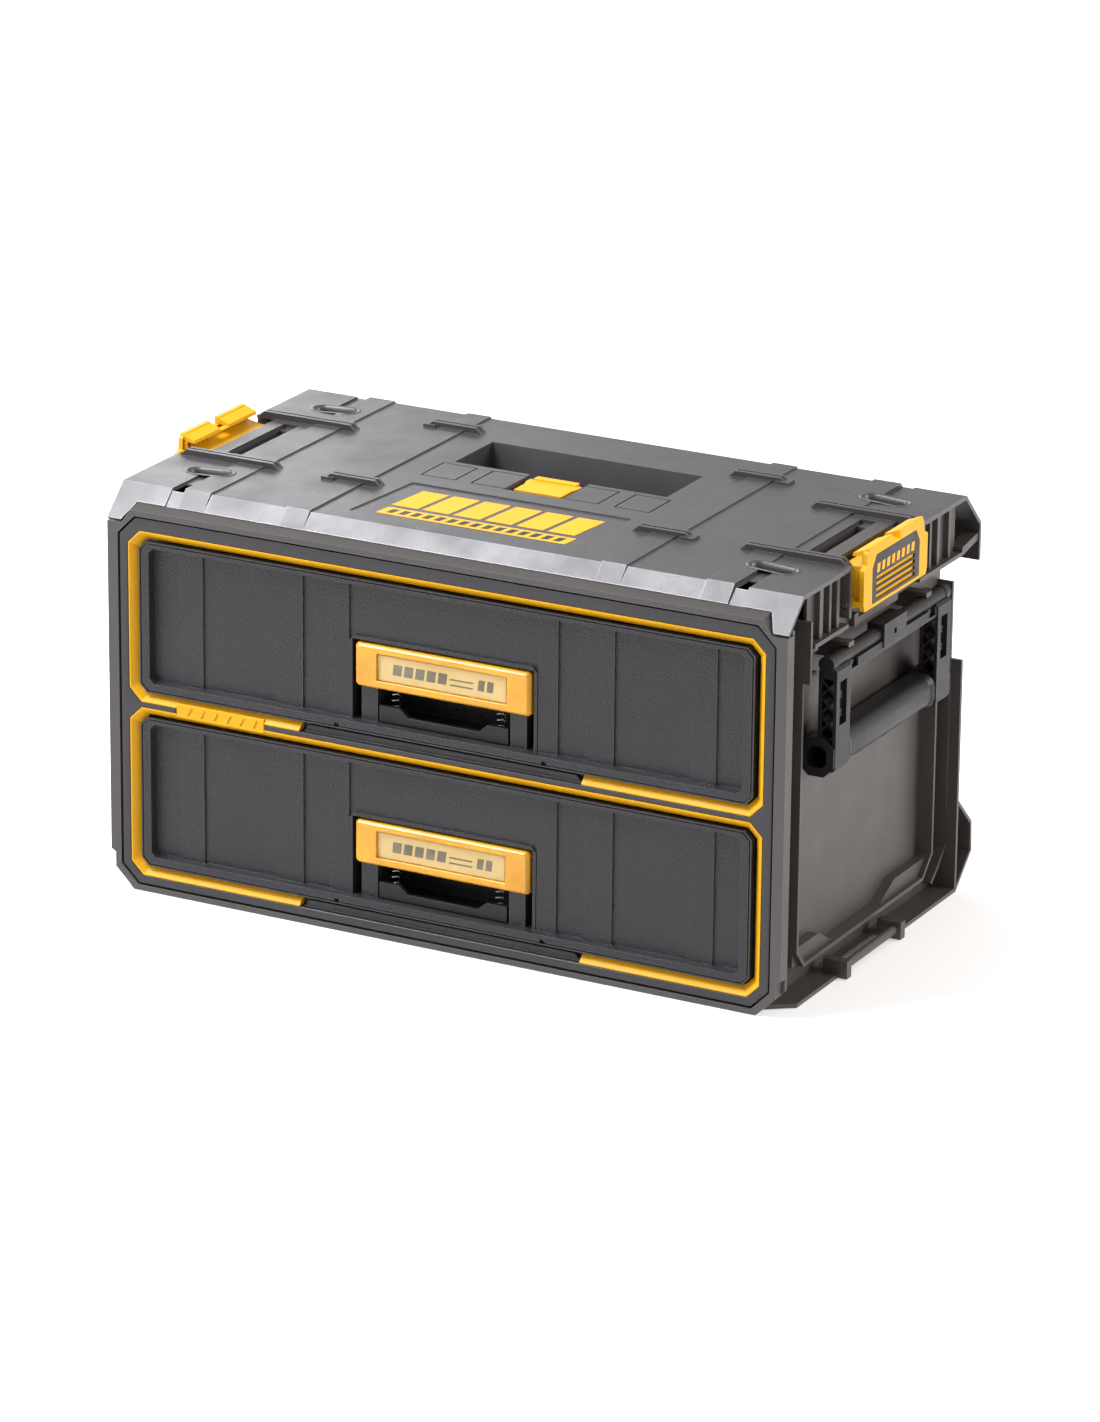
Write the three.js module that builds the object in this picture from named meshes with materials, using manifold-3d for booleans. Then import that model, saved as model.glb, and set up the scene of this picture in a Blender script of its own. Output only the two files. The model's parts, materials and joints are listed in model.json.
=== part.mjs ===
// A stackable tool storage unit: two drawers on telescopic slides, side latches and carry handles.
// Millimetres, +Z up. Inside the case group y is the distance behind the front face; the case group
// then moves back by half the depth, so that the origin is the centre of the footprint.
import * as THREE from "three";
import { mergeVertices } from "three/addons/utils/BufferGeometryUtils.js";
import Module from "manifold-3d";

const wasm = await Module();
wasm.setup();

// ---------------------------------------------------------------- driving dimensions
const HALF_WIDTH = 270; // deck and front rim
const DEPTH = 314;
const DECK_Z = 301; // top of the deck
const SIDE_HALF = 250; // outside of the plain side walls
const RIB_HALF = 262; // edge of the ribs on the side walls
const WALL = 3;
const GAP = 0.3; // between pieces that touch
const REAR_WALL_Y = 289; // outside of the rear wall
const FLANGE_Z = 256; // top of the side walls, where the deck's skirt begins
const SIDE_MID_Y = 155; // middle of the latch and of the carry handle
const RIM_DEPTH = 10;

const DRAWER_PITCH = 132.5;
const UPPER_DRAWER_Z = 152; // underside of the upper drawer's front
const FRONT_HALF = 245; // half width of a drawer front
const FRONT_HEIGHT = 113.4;
const FRONT_Y = 1.5;
const FRONT_THICK = 11;
const BIN_HALF = 232.3;
const BIN_BACK_Y = 272;
const BIN_TOP = 106;
const BIN_FLOOR = 3;
const SLIDE_Z = 53; // centre of the slides above the drawer front's underside
const SLIDE_FRONT_Y = 17;
const SLIDE_LENGTH = 250;

const TRIM_HALF = 253.2; // outside of the yellow trims
const TRIM_BAND = 6.5;
const TRIM_HEIGHT = 128.3;
const UPPER_TRIM_Z = 144.5;
const SCOOP_HALF = 113; // finger scoop under each drawer

const POCKET_HALF = 72.5;
const POCKET_TOP = 67.4;
const POCKET_FLOOR = 8;
const POCKET_DEPTH = 40;
const GRIP_Z = 33;
const GRIP_HEIGHT = 32.6;
const TRIGGER_Z = 8.6;

const LATCH_PIN = { x: 265, z: 272.5 };
const LATCH_OUT = 277;
const BAIL_AXIS = { x: 270.5, z: 241 };
const BAIL_OUT = 278;
const BAIL_FRONT_Y = 60;
const BAIL_BACK_Y = 250;

const FINISHES = {
  deck: { color: 0x56534f, roughness: 0.5 },
  shell: { color: 0x4a4743, roughness: 0.55 },
  fascia: { color: 0x3e3d40, roughness: 0.5 },
  front: { color: 0x26262a, roughness: 0.6 },
  black: { color: 0x1c1c1e, roughness: 0.5 },
  yellow: { color: 0xf5b81e, roughness: 0.4 },
  amber: { color: 0xf0a020, roughness: 0.2 },
  clear: { color: 0xf4d9a0, roughness: 0.1 },
  card: { color: 0xd9b06a, roughness: 0.8 },
  bin: { color: 0x2a2a2c, roughness: 0.6 },
  steel: { color: 0xb0b2b5, roughness: 0.35, metalness: 1 },
};

// ---------------------------------------------------------------- geometry helpers
// A closed geometry as a manifold solid.
function solid(geometry) {
  geometry.deleteAttribute("normal");
  geometry.deleteAttribute("uv");
  const merged = mergeVertices(geometry);
  return new wasm.Manifold(
    new wasm.Mesh({
      numProp: 3,
      vertProperties: new Float32Array(merged.attributes.position.array),
      triVerts: new Uint32Array(merged.index.array),
    }),
  );
}

const join = (...solids) => solids.flat(Infinity).reduce((a, b) => a.add(b));
const cut = (base, ...tools) => tools.flat(Infinity).reduce((a, b) => a.subtract(b), base);
const bothSides = (make) => [make(1), make(-1)];

// A box between opposite corners, given in any order on each axis.
function block([x0, x1], [y0, y1], [z0, z1]) {
  const box = new THREE.BoxGeometry(Math.abs(x1 - x0), Math.abs(y1 - y0), Math.abs(z1 - z0));
  return solid(box.translate((x0 + x1) / 2, (y0 + y1) / 2, (z0 + z1) / 2));
}

function extruded(outline, depth, holes) {
  const shape = new THREE.Shape(outline.map(([a, b]) => new THREE.Vector2(a, b)));
  for (const hole of holes) {
    shape.holes.push(new THREE.Path(hole.map(([a, b]) => new THREE.Vector2(a, b))));
  }
  return new THREE.ExtrudeGeometry(shape, { depth, bevelEnabled: false });
}

const axis = (x, y, z) => new THREE.Vector3(x, y, z);

// Outlines given as (y, z), (x, z) or (x, y) points, extruded along the axis that is left.
function prismX(outline, [x0, x1], holes = []) {
  const turn = new THREE.Matrix4().makeBasis(axis(0, 1, 0), axis(0, 0, 1), axis(1, 0, 0));
  const geometry = extruded(outline, Math.abs(x1 - x0), holes).applyMatrix4(turn);
  return solid(geometry.translate(Math.min(x0, x1), 0, 0));
}

function prismY(outline, [y0, y1], holes = []) {
  const turn = new THREE.Matrix4().makeBasis(axis(1, 0, 0), axis(0, 0, 1), axis(0, -1, 0));
  const geometry = extruded(outline, Math.abs(y1 - y0), holes).applyMatrix4(turn);
  return solid(geometry.translate(0, Math.max(y0, y1), 0));
}

function prismZ(outline, [z0, z1], holes = []) {
  return solid(extruded(outline, Math.abs(z1 - z0), holes).translate(0, 0, Math.min(z0, z1)));
}

// A solid between two convex outlines of (x, z) points with the same count, at two depths.
function taperY(frontOutline, backOutline, [y0, y1]) {
  const count = frontOutline.length;
  const points = [];
  for (const [x, z] of frontOutline) points.push(x, y0, z);
  for (const [x, z] of backOutline) points.push(x, y1, z);
  const faces = [];
  for (let i = 0; i < count; i++) {
    const next = (i + 1) % count;
    faces.push(i, next, count + next, i, count + next, count + i);
    if (i > 1) faces.push(0, i, i - 1, count, count + i - 1, count + i);
  }
  const geometry = new THREE.BufferGeometry();
  geometry.setAttribute("position", new THREE.Float32BufferAttribute(points, 3));
  geometry.setIndex(faces);
  const made = solid(geometry);
  if (made.volume() > 0) return made;
  geometry.setIndex(faces.toReversed());
  return solid(geometry);
}

// Round bars along each axis.
function rodY(x, z, radius, [y0, y1], sides = 16) {
  const rod = new THREE.CylinderGeometry(radius, radius, Math.abs(y1 - y0), sides);
  return solid(rod.translate(x, (y0 + y1) / 2, z));
}

function rodX(y, z, radius, [x0, x1], sides = 16) {
  const rod = new THREE.CylinderGeometry(radius, radius, Math.abs(x1 - x0), sides).rotateZ(Math.PI / 2);
  return solid(rod.translate((x0 + x1) / 2, y, z));
}

function rodZ(x, y, radius, [z0, z1], sides = 12) {
  const rod = new THREE.CylinderGeometry(radius, radius, z1 - z0, sides).rotateX(Math.PI / 2);
  return solid(rod.translate(x, y, (z0 + z1) / 2));
}

// An octagonal outline: a rectangle with equal corner chamfers.
function chamfered([a0, a1], [b0, b1], c) {
  return [
    [a0 + c, b0], [a1 - c, b0], [a1, b0 + c], [a1, b1 - c],
    [a1 - c, b1], [a0 + c, b1], [a0, b1 - c], [a0, b0 + c],
  ];
}

// The right half of an outline, completed with its mirror image.
const mirrored = (half) => [...half, ...half.map(([x, z]) => [-x, z]).reverse()];

// A strip of even thickness to the left of an open path.
function strip(path, thickness) {
  const normals = path.slice(1).map(([bx, by], i) => {
    const [ax, ay] = path[i];
    const length = Math.hypot(bx - ax, by - ay);
    return [-(by - ay) / length, (bx - ax) / length];
  });
  const inner = path.map(([x, y], i) => {
    const before = normals[Math.max(i - 1, 0)];
    const after = normals[Math.min(i, normals.length - 1)];
    const scale = thickness / (1 + before[0] * after[0] + before[1] * after[1]);
    return [x + (before[0] + after[0]) * scale, y + (before[1] + after[1]) * scale];
  });
  return [...path, ...inner.reverse()];
}

// A stadium-shaped outline, longer along x.
function stadium(cx, cy, length, width, steps = 5) {
  const radius = width / 2;
  const half = length / 2 - radius;
  const arc = (centre, from) =>
    Array.from({ length: steps + 1 }, (_, i) => {
      const angle = from + (Math.PI * i) / steps;
      return [centre + radius * Math.cos(angle), cy + radius * Math.sin(angle)];
    });
  return [...arc(cx + half, -Math.PI / 2), ...arc(cx - half, Math.PI / 2)];
}

// A round wire coiled about the local z axis, from z = 0 up to its height.
function coil(radius, wire, turns, height, stepsPerTurn = 9, wireSides = 5) {
  const curve = new THREE.Curve();
  curve.getPoint = (t, target = new THREE.Vector3()) => {
    const angle = t * turns * 2 * Math.PI;
    return target.set(radius * Math.cos(angle), radius * Math.sin(angle), wire + t * (height - 2 * wire));
  };
  const section = Array.from({ length: wireSides }, (_, i) => {
    const angle = (2 * Math.PI * i) / wireSides;
    return new THREE.Vector2(wire * Math.cos(angle), wire * Math.sin(angle));
  });
  return new THREE.ExtrudeGeometry(new THREE.Shape(section), {
    steps: Math.round(turns * stepsPerTurn),
    extrudePath: curve,
    bevelEnabled: false,
  });
}

// A named mesh with a material of its own.
function piece(name, shape, finish) {
  let geometry = shape;
  if (!shape.isBufferGeometry) {
    const made = shape.getMesh();
    geometry = new THREE.BufferGeometry();
    geometry.setAttribute("position", new THREE.BufferAttribute(made.vertProperties, 3));
    geometry.setIndex(new THREE.BufferAttribute(made.triVerts, 1));
    geometry.computeVertexNormals();
  }
  const mesh = new THREE.Mesh(geometry, new THREE.MeshStandardMaterial(FINISHES[finish]));
  mesh.name = name;
  return mesh;
}

// ---------------------------------------------------------------- housing
const RIM_TOP = 287.8;
const RIM_CORNER = { inner: 251, outer: 258.3, z: 277 };
const FASCIA_HALF = 260.3;
const FASCIA_Z = [5.3, 282.2];
const FASCIA_CHAMFER = 13.65;

function rimOutline() {
  return mirrored([
    [RIM_CORNER.inner, 0],
    [266.3, 15],
    [266.3, 26],
    [HALF_WIDTH, 28],
    [HALF_WIDTH, RIM_CORNER.z],
    [RIM_CORNER.outer, RIM_CORNER.z],
    [RIM_CORNER.inner, RIM_TOP],
  ]);
}

// The rib that follows the outline of a side panel, with its ledges and the flange on top.
function sideRibs(s) {
  const out = [s * (SIDE_HALF - 1), s * RIB_HALF];
  const panelRib = [[41, 236], [41, 34], [53, 20], [248, 20], [264, 36], [264, 236]];
  const frontLedge = [[42, 34], [84, 34], [106, 22], [42, 22]];
  const rearLedge = [[208, 34], [263, 34], [250, 22], [183, 22]];
  const ledgeOut = [s * (SIDE_HALF - 1), s * 258];
  return [
    prismX(strip(panelRib, 2.6), out),
    prismX(frontLedge, ledgeOut),
    prismX(rearLedge, ledgeOut),
    block(out, [60, 285], [FLANGE_Z - 2.5, FLANGE_Z]),
  ];
}

// The flange behind a side panel and the rib that runs down it.
function rearFlange(s) {
  const rib = [[284.5, 236], [284.5, 64], [290, 57], [287, 38], [272, 22.5], [262, 14]];
  return [
    prismX(strip(rib, 2.6), [s * SIDE_HALF, s * RIB_HALF]),
    block([s * (SIDE_HALF - 1), s * HALF_WIDTH], [286, REAR_WALL_Y], [1, 177.6]),
  ];
}

// The bracket that ties the front rim to the side wall above the carry handle.
function sideBracket(s) {
  return [
    block([s * (SIDE_HALF - 1), s * 268], [40, 42.5], [232, 277]),
    block([s * (SIDE_HALF - 1), s * 264], [42, 60], [251, 253.5]),
    block([s * (SIDE_HALF - 1), s * 264], [42, 58], [234, 236.5]),
    block([s * (SIDE_HALF - 1), s * 264], [57, 60], [251, FLANGE_Z]),
  ];
}

const CLIP_Y = [92, 218];

// A C-shaped clip, open outward, that holds the bar of the carry handle.
function bailClip(s, y) {
  const span = [y - 4, y + 4];
  const clip = cut(
    join(
      rodY(s * BAIL_AXIS.x, BAIL_AXIS.z, 9, span),
      block([s * (SIDE_HALF - 1), s * (BAIL_AXIS.x - 2)], span, [BAIL_AXIS.z - 4, BAIL_AXIS.z + 8.5]),
    ),
    rodY(s * BAIL_AXIS.x, BAIL_AXIS.z, 6.2, [y - 5, y + 5]),
  );
  return cut(clip, block([s * (BAIL_AXIS.x + 3.5), s * (BAIL_AXIS.x + 20)], [y - 5, y + 5], [215, 265]));
}

// The foot bar that a latch of the unit below hooks on to, between two cheeks.
const CATCH = { y: [99, 180], cheek: 7, out: 277, barX: 271 };

function catchBar(s) {
  const cheekOutline = (y) => [[y, 0], [y + CATCH.cheek, 0], [y + CATCH.cheek, 13], [y, 13]];
  const cheekOut = [s * (RIB_HALF - 4), s * CATCH.out];
  return [
    prismX(cheekOutline(CATCH.y[0] - CATCH.cheek), cheekOut),
    prismX(cheekOutline(CATCH.y[1]), cheekOut),
    rodY(s * CATCH.barX, 7, 3.6, [CATCH.y[0] - 1, CATCH.y[1] + 1], 12),
  ];
}

const catchSlot = (s) => block([s * 258, s * 276], CATCH.y, [-1, 3]);

// The frame round the drawers, with the bulkhead that carries the fascia and the trims.
function frontFrame() {
  const opening = (z) => block([-247.2, 247.2], [5, 20], z);
  const rim = prismY(rimOutline(), [0, RIM_DEPTH], [
    chamfered([-261.5, 261.5], [4.1, 283.4], 14.1),
  ]);
  const topLedge = prismX([[0, 284.5], [0, RIM_TOP], [12, 290], [12, 284.5]], [-251, 251]);
  const bulkhead = cut(
    block([-269, 269], [RIM_DEPTH - 1, 12], [0, 284.4]),
    block([-300, 300], [5, 20], [280, 290]).subtract(block([-252, 252], [5, 20], [280, 290])),
    bothSides((s) => prismY([[s * 250, -1], [s * 271, 20], [s * 271, -1]], [5, 20])),
    opening([16.5, 135.5]),
    opening([149, 268]),
  );
  return join(rim, topLedge, bulkhead);
}

function sideWall(s) {
  return join(
    block([s * (SIDE_HALF - WALL), s * SIDE_HALF], [12, 286], [WALL, FLANGE_Z]),
    sideRibs(s),
    sideBracket(s),
    CLIP_Y.map((y) => bailClip(s, y)),
  );
}

// The base, the rear wall and the apron that stands out at the foot of the rear wall.
function housingShell() {
  const base = prismZ(
    mirrored([[250, 12], [HALF_WIDTH, 27], [HALF_WIDTH, REAR_WALL_Y]]),
    [0, WALL],
  );
  const rearWall = block([-SIDE_HALF, SIDE_HALF], [286, REAR_WALL_Y], [0, DECK_Z - 8]);
  const apron = prismX(
    strip([[289.2, 70], [313, 47], [DEPTH, 24], [288, 0]].reverse(), 2.6),
    [-HALF_WIDTH, HALF_WIDTH],
  );
  return cut(
    join(base, rearWall, apron, bothSides(rearFlange), bothSides(catchBar)),
    bothSides(catchSlot),
  );
}

// ---------------------------------------------------------------- deck
const DECK_PROFILE = [[0, 279.4], [22.8, DECK_Z], [287, DECK_Z], [313.6, 274.4], [313.6, 246.3]];
const DECK_SKIN = 2.8;
const BAND_RISE = 1.2;
const BANDS = [[116, 135], [197, 218]];
const PANEL_SEAM_X = 196;
const KEYHOLE = { x: 224.7, y: [68, 248], length: 38, width: 17 };
const KEY_SLOT = [218, 229];
const LONG_CLEAT_X = [184, 268];
const LONG_CLEAT_Y = [96, 207];
const SHORT_CLEAT_X = [100, 148];
const SHORT_CLEAT_Y = [96, 246];
const CLEAT_RISE = 4.5;
const BASIN = { half: 86, y: [178, 236], depth: 30, wall: 2.5 };
const LATCH_BAY = { x: 252, y: [100, 210], floor: 266 };
const SIDE_SLOT = { x: [228, 240.5], y: [112, 200], depth: 9 };
const STRIKER_Y = [[111, 118], [192, 201]];
const PAD_Y = [140, 172];
const PAD_X = [[24, 50], [65, 91]];
const TAB_RECESS = { half: 24, y: [137, 178], depth: 8 };

// A cleat: two thin ribs with a groove between them and ramps at both ends.
function cleat(s, [x0, x1], y) {
  const top = DECK_Z + CLEAT_RISE;
  const ramp = CLEAT_RISE + 1.5;
  const outline = [
    [s * x0, DECK_Z - 1],
    [s * (x0 + ramp), top],
    [s * (x1 - ramp), top],
    [s * x1, DECK_Z - 1],
  ];
  const ribs = prismY(outline, [y, y + 8]);
  return cut(ribs, block([s * (x0 - 1), s * (x1 + 1)], [y + 3, y + 5.2], [DECK_Z + 1, top + 1]));
}

// The low step pad at the outer end of a short cleat.
const cleatStep = (s, y) => block([s * 139, s * 149], [y - 1.5, y + 9.5], [DECK_Z - 1, DECK_Z + 2]);

function deckBands(s) {
  const rise = DECK_Z + BAND_RISE;
  const profile = [[11.2, 290], [22.3, rise], [287.6, rise], [290.5, 299], [24, 299], [14, 289.6]];
  return BANDS.map(([x0, x1]) => prismX(profile, [s * x0, s * x1]));
}

// The side skirt under the deck's edge: its wall, ribs and lip, the pocket of the side latch,
// and the channel under the deck's side slot.
function deckSkirt(s) {
  const [y0, y1] = LATCH_BAY.y;
  const floor = LATCH_BAY.floor;
  const foot = FLANGE_Z + GAP;
  const top = DECK_Z - DECK_SKIN;
  const slot = SIDE_SLOT;
  const slotFloor = DECK_Z - slot.depth;
  const wall = [s * (RIB_HALF - 2.5), s * RIB_HALF];
  const lip = [s * (RIB_HALF - 1), s * 269];
  const bayWall = [s * (LATCH_BAY.x - 2.5), s * (HALF_WIDTH - 0.5)];
  const ribs = [[57, 62], [72, 75], [84, 88], [222, 226], [234, 237], [247, 251], [266, 269]];
  const skirt = join(
    block(wall, [45, y0 + 1], [foot, top]),
    block(wall, [y0 - 1, y1 + 1], [foot, floor]),
    block(wall, [y1 - 1, 285], [foot, top]),
    ribs.map((y) => block([s * (RIB_HALF - 1), s * (RIB_HALF + 4)], y, [foot + 3, top])),
    block(lip, [45, 97], [foot + 0.5, foot + 3.5]),
    block(lip, [213, 285], [foot + 0.5, foot + 3.5]),
    block([s * (RIB_HALF - 1), s * 266.5], [112, 118], [foot, floor - 4]),
    block([s * (RIB_HALF - 1), s * 266.5], [176, 182], [foot, floor - 4]),
    block([s * (RIB_HALF + 0.4), s * 266.5], [112, 182], [253, foot + 2]),
    prismX([[284, foot + 0.5], [284, 263], [310.4, 267], [310.4, 262]], [s * (RIB_HALF - 4), s * 269]),
    block([s * (LATCH_BAY.x - 2.5), s * LATCH_BAY.x], [y0 - 3, y1 + 3], [floor - 2.5, top]),
    block([s * (LATCH_BAY.x - 2.5), s * RIB_HALF], [y0 - 3, y1 + 3], [floor - 2.5, floor]),
    block(bayWall, [y0 - 3, y0], [floor - 2.5, top]),
    block(bayWall, [y1, y1 + 3], [floor - 2.5, top]),
    block([s * (slot.x[1] + 1), s * LATCH_BAY.x], [slot.y[0], slot.y[1]], [slotFloor - 2, slotFloor]),
  );
  const channel = block([s * (slot.x[0] - 2), s * (slot.x[1] + 2)], [slot.y[0] - 2, slot.y[1] + 2],
    [slotFloor - 2, top]);
  const hollow = block([s * slot.x[0], s * slot.x[1]], slot.y, [slotFloor, top + 1]);
  const strikers = STRIKER_Y.map((y) =>
    block([s * (slot.x[0] - 1), s * (slot.x[1] + 1)], y, [slotFloor - 1, DECK_Z - DECK_SKIN - 0.4]));
  return join(
    cut(join(skirt, channel), hollow, rodY(s * LATCH_PIN.x, LATCH_PIN.z, 2.8, [y0 - 4, y1 + 4], 12)),
    strikers,
  );
}

function deckCuts(s) {
  const [y0, y1] = LATCH_BAY.y;
  const slotEnds = [[-1, KEYHOLE.y[0]], [KEYHOLE.y[1], 300]];
  return [
    block([s * LATCH_BAY.x, s * 280], [y0, y1], [LATCH_BAY.floor, DECK_Z + 8]),
    KEYHOLE.y.map((y) => prismZ(stadium(s * KEYHOLE.x, y, KEYHOLE.length, KEYHOLE.width), [290, 310])),
    slotEnds.map((y) => block([s * KEY_SLOT[0], s * KEY_SLOT[1]], y, [DECK_Z - 1.6, DECK_Z + 4])),
    prismX([[-1, 276.9], [22.3, DECK_Z - 1.6], [22.3, 310], [-1, 310]], [s * KEY_SLOT[0], s * KEY_SLOT[1]]),
    block([s * (KEY_SLOT[0] + 1.5), s * (KEY_SLOT[1] - 1)], [22, 40], [280, DECK_Z + 4]),
    block([s * SIDE_SLOT.x[0], s * SIDE_SLOT.x[1]], SIDE_SLOT.y, [DECK_Z - DECK_SKIN - 1, 310]),
  ];
}

function deckPads() {
  const grooveTop = [DECK_Z - 1.6, DECK_Z + 1];
  return bothSides((s) =>
    PAD_X.map(([x0, x1]) =>
      cut(
        block([s * (x0 - 1.5), s * (x1 + 1.5)], [PAD_Y[0] - 1.5, PAD_Y[1] + 1.5], grooveTop),
        block([s * x0, s * x1], PAD_Y, grooveTop),
      ),
    ),
  );
}

function deckCover() {
  const width = [-HALF_WIDTH, HALF_WIDTH];
  const skin = prismX(strip([...DECK_PROFILE].reverse(), DECK_SKIN), width);
  const rimClearance = prismY(
    mirrored([[RIM_CORNER.outer + 0.6, 270], [RIM_CORNER.outer + 0.6, RIM_CORNER.z + 2], [251.6, 290.4]]),
    [-1, 12.3],
  );
  const [b0, b1] = BASIN.y;
  const basinFloor = DECK_Z - BASIN.depth;
  const basinShell = block(
    [-BASIN.half - BASIN.wall, BASIN.half + BASIN.wall],
    [b0 - BASIN.wall, b1 + BASIN.wall],
    [basinFloor - BASIN.wall, DECK_Z - 1],
  );
  const basinHollow = prismX(
    [[b0, DECK_Z + 2], [b0, basinFloor], [b1 - 7, basinFloor], [b1, DECK_Z + 2]],
    [-BASIN.half, BASIN.half],
  );
  const tabPocket = block(
    [-TAB_RECESS.half - 2, TAB_RECESS.half + 2],
    [TAB_RECESS.y[0] - 2, TAB_RECESS.y[1]],
    [DECK_Z - TAB_RECESS.depth - 2, DECK_Z - 1],
  );
  const tabHollow = block(
    [-TAB_RECESS.half, TAB_RECESS.half],
    [TAB_RECESS.y[0], TAB_RECESS.y[1] + 1],
    [DECK_Z - TAB_RECESS.depth, DECK_Z + 2],
  );
  const graphicRecess = prismZ(mirrored([[95, 40], [88, 120]]), [DECK_Z - 1, DECK_Z + 1]);
  const frontLip = prismX([[12.3, 290.4], [12.3, 285], [15, 285], [15, 293]], [-245, 245]);
  const body = cut(
    join(skin, basinShell, tabPocket, frontLip, bothSides(deckBands)),
    rimClearance, basinHollow, tabHollow, graphicRecess, deckPads(), bothSides(deckCuts),
  );
  const shortCleats = bothSides((s) =>
    SHORT_CLEAT_Y.map((y) => [cleat(s, SHORT_CLEAT_X, y), cleatStep(s, y)]));
  return join(body, shortCleats);
}

// The part of the deck within a span of x.
const deckPanel = (span) => deckCover().intersect(block(span, [-5, 330], [200, 330]));

// An end panel outside the seam. Its long cleats reach in over the middle panel, resting on it.
function deckEnd(s) {
  const seam = s * PANEL_SEAM_X;
  const over = block([s * (LONG_CLEAT_X[0] - 1), seam], [50, 260], [DECK_Z - 3, DECK_Z]);
  const cleats = LONG_CLEAT_Y.map((y) => cleat(s, LONG_CLEAT_X, y));
  return join(deckPanel([seam, s * 280]), cut(join(cleats), over));
}

// The spring-loaded catch in front of the basin, and its wire spring.
function deckTab() {
  const top = DECK_Z - 1.2;
  const plan = mirrored([[19, 144], [19, 160], [21, 166], [21, 172.5]]);
  return join(
    prismZ(plan, [top - 4, top]),
    block([-17, 17], [170, 176.5], [top - 2.5, top + 1.4]),
    block([-4, 4], [146, 150], [DECK_Z - 7.4, top - 3]),
  );
}

function tabSpring() {
  const spring = coil(0.85, 0.35, 5, 4.5, 8, 5).rotateX(-Math.PI / 2);
  return spring.translate(0, 137.8, DECK_Z - 6.6);
}

// ---------------------------------------------------------------- fascia and trims
const trimOutline = (z, inset, chamfer) =>
  chamfered([-TRIM_HALF + inset, TRIM_HALF - inset], [z + inset, z + TRIM_HEIGHT - inset], chamfer);
const TRIM_Z = { upper: UPPER_TRIM_Z, lower: UPPER_TRIM_Z - DRAWER_PITCH };
const NAMEPLATE = { x: [-214, -142], z: [138, 148] };
const FASCIA_Y = [0.5, 8.5];

function frontFascia() {
  const plate = prismY(
    chamfered([-FASCIA_HALF, FASCIA_HALF], FASCIA_Z, FASCIA_CHAMFER),
    FASCIA_Y,
    [trimOutline(TRIM_Z.upper, -GAP, 9.7), trimOutline(TRIM_Z.lower, -GAP, 9.7)],
  );
  const scoops = [TRIM_Z.upper, TRIM_Z.lower].map((z) =>
    prismY(
      mirrored([[SCOOP_HALF - 0.5, z - 1], [SCOOP_HALF - 6, z + 5.2]]),
      [FASCIA_Y[0] + 4.5, FASCIA_Y[1]],
    ));
  const plateSeat = block(
    [NAMEPLATE.x[0] - GAP, NAMEPLATE.x[1] + GAP],
    [-1, 3.4],
    [NAMEPLATE.z[0] - GAP, NAMEPLATE.z[1] + GAP],
  );
  return cut(join(plate, scoops), plateSeat);
}

function trim(z) {
  const ring = prismY(trimOutline(z, 0, 9.6), [0.7, 8.5], [trimOutline(z, TRIM_BAND, 6.9)]);
  const funnel = taperY(trimOutline(z, 0.8, 9.3), trimOutline(z, TRIM_BAND + 0.01, 6.9), [0.6, 6.5]);
  const scoop = block([-SCOOP_HALF, SCOOP_HALF], [-1, 10], [z - 1, z + TRIM_BAND + 3]);
  const plateSeat = block(
    [NAMEPLATE.x[0] - GAP, NAMEPLATE.x[1] + GAP],
    [-1, 3.4],
    [NAMEPLATE.z[0] - GAP, NAMEPLATE.z[1] + GAP],
  );
  return cut(ring, funnel, scoop, plateSeat);
}

function nameplate() {
  const [x0, x1] = NAMEPLATE.x;
  const bar = block([x0, x1], [0.6, 3.1], NAMEPLATE.z);
  const grooves = Array.from({ length: 6 }, (_, i) => {
    const x = x0 + 9 + i * 10.8;
    return prismY([[x, 140], [x + 3, 146], [x + 5, 146], [x + 2, 140]], [0, 1.4]);
  });
  return cut(bar, grooves);
}

// ---------------------------------------------------------------- slides
// A C-shaped rail along y, open towards the drawer (inward) or towards the case (outward).
function rail(s, [webX, flangeX], halfHeight, sheet) {
  const inwards = Math.sign(flangeX - webX);
  const outline = [
    [webX, SLIDE_Z - halfHeight],
    [flangeX, SLIDE_Z - halfHeight],
    [flangeX, SLIDE_Z - halfHeight + sheet],
    [webX + inwards * sheet, SLIDE_Z - halfHeight + sheet],
    [webX + inwards * sheet, SLIDE_Z + halfHeight - sheet],
    [flangeX, SLIDE_Z + halfHeight - sheet],
    [flangeX, SLIDE_Z + halfHeight],
    [webX, SLIDE_Z + halfHeight],
  ].map(([x, z]) => [s * x, z]);
  return prismY(outline, [SLIDE_FRONT_Y, SLIDE_FRONT_Y + SLIDE_LENGTH]);
}

const outerRail = (s) => rail(s, [246.6, 235.4], 22.5, 1.4);
const middleRail = (s) => rail(s, [243.6, 234.6], 18.5, 1.3);
const innerRail = (s) => rail(s, [232.7, 240.6], 14.5, 1.3);

// ---------------------------------------------------------------- drawers
const RECESS = { half: 235.5, z: [8.5, 107.4], depth: 6.5 };
const FRONT_RIBS = [[75.5, 91], [113, 135], [195, 214]];
const FRONT_RIB_RISE = 1.4;

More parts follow.
